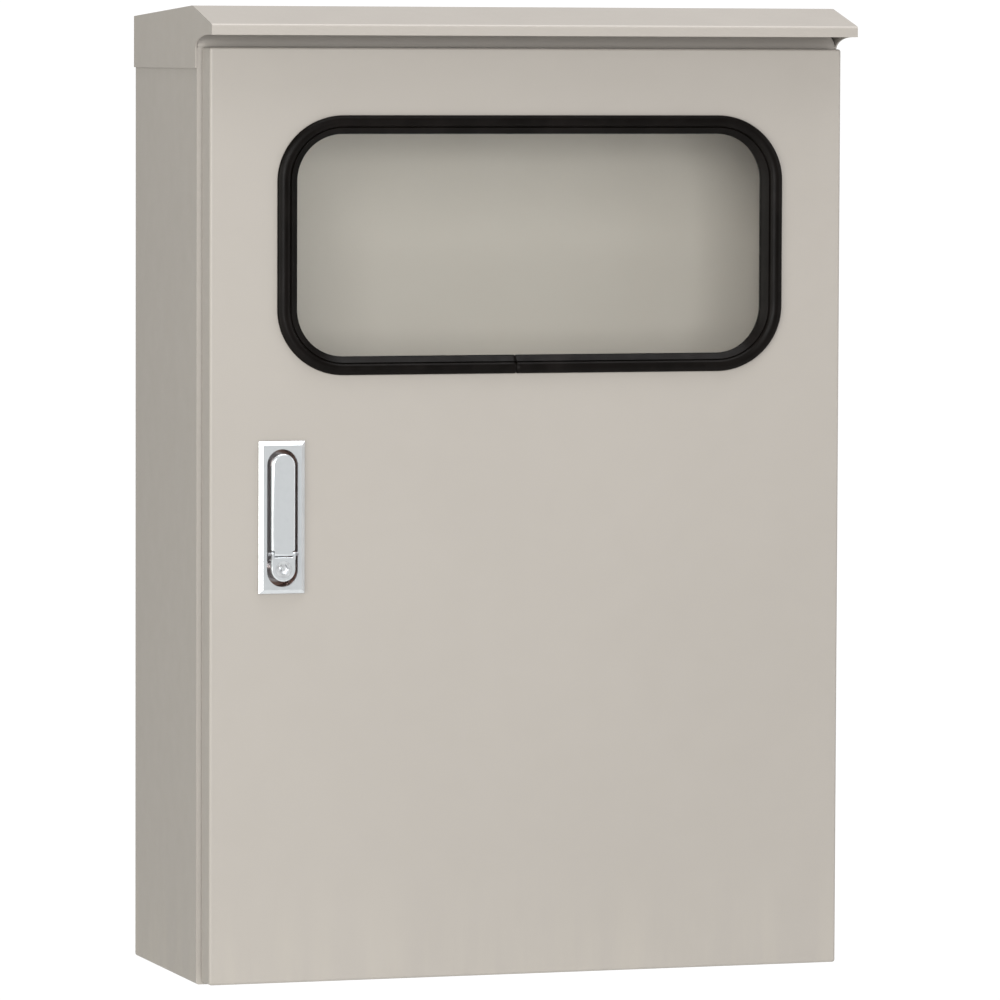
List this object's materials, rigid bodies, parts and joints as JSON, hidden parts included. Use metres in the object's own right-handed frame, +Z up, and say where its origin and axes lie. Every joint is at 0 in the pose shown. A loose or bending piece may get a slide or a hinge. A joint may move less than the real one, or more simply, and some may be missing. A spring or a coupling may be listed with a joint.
{
  "type": "automatic transfer switch",
  "caption": "Wall-mounted automatic transfer switch in an outdoor steel cabinet with rain hood, windowed hinged door, flush swing handle and motor-driven changeover gear inside.",
  "frame": {"origin": "centre of the four wall-fixing holes, on the cabinet's back face", "axes": "+Z up, +Y into the wall, +X to the right as seen from the front"},
  "size_m": [0.5028, 0.2227, 0.7249],
  "materials": {
    "cabinet_paint": "satin light beige-grey powder coat",
    "hood_paint": "satin light beige-grey powder coat",
    "door_paint": "satin light beige-grey powder coat",
    "plate_paint": "satin light beige-grey powder coat",
    "zinc_steel": "bright zinc plate",
    "dark_steel": "oiled steel",
    "chrome_zinc": "polished chrome plate",
    "black_rubber": "matte black rubber",
    "grey_foam": "foamed polyurethane seal",
    "clear_pane": "clear",
    "duct_grey": "grey PVC",
    "case_black": "fine-textured black moulding",
    "case_white": "fine-textured light grey moulding",
    "moulding_dark": "glass-filled dark grey moulding",
    "cover_grey": "mid grey moulding",
    "copper": "bare copper",
    "brass": "bare brass",
    "nylon": "natural nylon",
    "shaft_brown": "phenolic moulding",
    "flag_red": "red moulding",
    "button_green": "green moulding",
    "button_grey": "grey moulding",
    "toggle_blue": "dark blue moulding",
    "lens_amber": "tinted lens",
    "display_glass": "dark display pane",
    "terminal_beige": "beige polyamide"
  },
  "bodies": {
    "cabinet": {"cabinet_shell": "cabinet_paint", "rain_hood": "hood_paint", "hood_screws": "zinc_steel", "hinge_body_leaves": "zinc_steel", "hinge_pins": "zinc_steel", "hinge_screws": "zinc_steel", "gland_plate": "cabinet_paint", "gland_screws": "zinc_steel", "cable_grommets": "black_rubber", "mounting_plate": "plate_paint", "plate_studs": "zinc_steel", "plate_nuts": "zinc_steel", "din_rail": "zinc_steel", "wiring_duct": "duct_grey", "duct_cover": "duct_grey", "controller_case": "case_black", "controller_display": "display_glass", "indicator_lenses": "lens_amber", "terminal_blocks": "terminal_beige", "earth_bar": "brass", "earth_screws": "zinc_steel", "ats_base": "moulding_dark", "ats_cover": "cover_grey", "shaft_bearings": "nylon", "load_contacts": "copper", "normal_contacts": "copper", "standby_contacts": "copper", "terminal_bolts": "zinc_steel", "motor_bracket": "zinc_steel", "drive_motor": "dark_steel", "breaker_case_a": "case_white", "breaker_case_b": "case_white"},
    "door": {"door_panel": "door_paint", "door_gasket": "grey_foam", "window_gasket": "black_rubber", "window_pane": "clear_pane", "door_stiffeners": "door_paint", "hinge_door_leaves": "zinc_steel", "handle_housing": "chrome_zinc", "handle_gasket": "black_rubber", "handle_clamp": "zinc_steel", "handle_nut": "zinc_steel"},
    "latch": {"handle_hub": "chrome_zinc", "handle_spindle": "zinc_steel", "latch_cam": "zinc_steel", "cam_screw": "zinc_steel", "lever_pin": "dark_steel"},
    "changeover": {"contact_shaft": "shaft_brown", "moving_blades": "copper", "shaft_gear": "nylon", "manual_lever": "flag_red", "position_flag": "flag_red"},
    "grip": {"handle_lever": "chrome_zinc"},
    "plug": {"lock_plug": "zinc_steel"},
    "pinion": {"motor_pinion": "brass"},
    "auto_button": {"button_auto": "button_green"},
    "normal_button": {"button_normal": "button_grey"},
    "standby_button": {"button_standby": "button_grey"},
    "toggle_a": {"breaker_toggle_a": "toggle_blue"},
    "toggle_b": {"breaker_toggle_b": "toggle_blue"}
  },
  "joints": [
    {"name": "door_swing", "type": "hinge", "parent": "cabinet", "child": "door", "pos_m": [0.24, -0.191, 0], "axis": [0, 0, 1], "range_deg": [0, 120]},
    {"name": "handle_turn", "type": "hinge", "parent": "door", "child": "latch", "pos_m": [-0.1918, -0.19, -0.04], "axis": [0, 1, 0], "range_deg": [0, 90]},
    {"name": "lever_lift", "type": "hinge", "parent": "latch", "child": "grip", "pos_m": [-0.1918, -0.2056, -0.0288], "axis": [1, 0, 0], "range_deg": [0, 40]},
    {"name": "lock_turn", "type": "hinge", "parent": "latch", "child": "plug", "pos_m": [-0.1918, -0.2, -0.04], "axis": [0, 1, 0], "range_deg": [0, 90]},
    {"name": "changeover_turn", "type": "hinge", "parent": "cabinet", "child": "changeover", "pos_m": [0.02, -0.07, -0.12], "axis": [1, 0, 0], "range_deg": [0, 70]},
    {"name": "pinion_turn", "type": "hinge", "parent": "cabinet", "child": "pinion", "pos_m": [-0.087, -0.07, -0.0898], "axis": [1, 0, 0], "range_deg": [-210, 0]},
    {"name": "auto_press", "type": "slide", "parent": "cabinet", "child": "auto_button", "axis": [0, 1, 0], "range_m": [0, 0.0015], "stiffness_N_per_m": 400},
    {"name": "normal_press", "type": "slide", "parent": "cabinet", "child": "normal_button", "axis": [0, 1, 0], "range_m": [0, 0.0015], "stiffness_N_per_m": 400},
    {"name": "standby_press", "type": "slide", "parent": "cabinet", "child": "standby_button", "axis": [0, 1, 0], "range_m": [0, 0.0015], "stiffness_N_per_m": 400},
    {"name": "breaker_switch_a", "type": "hinge", "parent": "cabinet", "child": "toggle_a", "pos_m": [0.018, -0.084, 0.045], "axis": [1, 0, 0], "range_deg": [0, 50]},
    {"name": "breaker_switch_b", "type": "hinge", "parent": "cabinet", "child": "toggle_b", "pos_m": [0.06, -0.084, 0.045], "axis": [1, 0, 0], "range_deg": [0, 50]}
  ],
  "couplings": [
    {"joint": "pinion_turn", "follows": "changeover_turn", "ratio": -3}
  ]
}
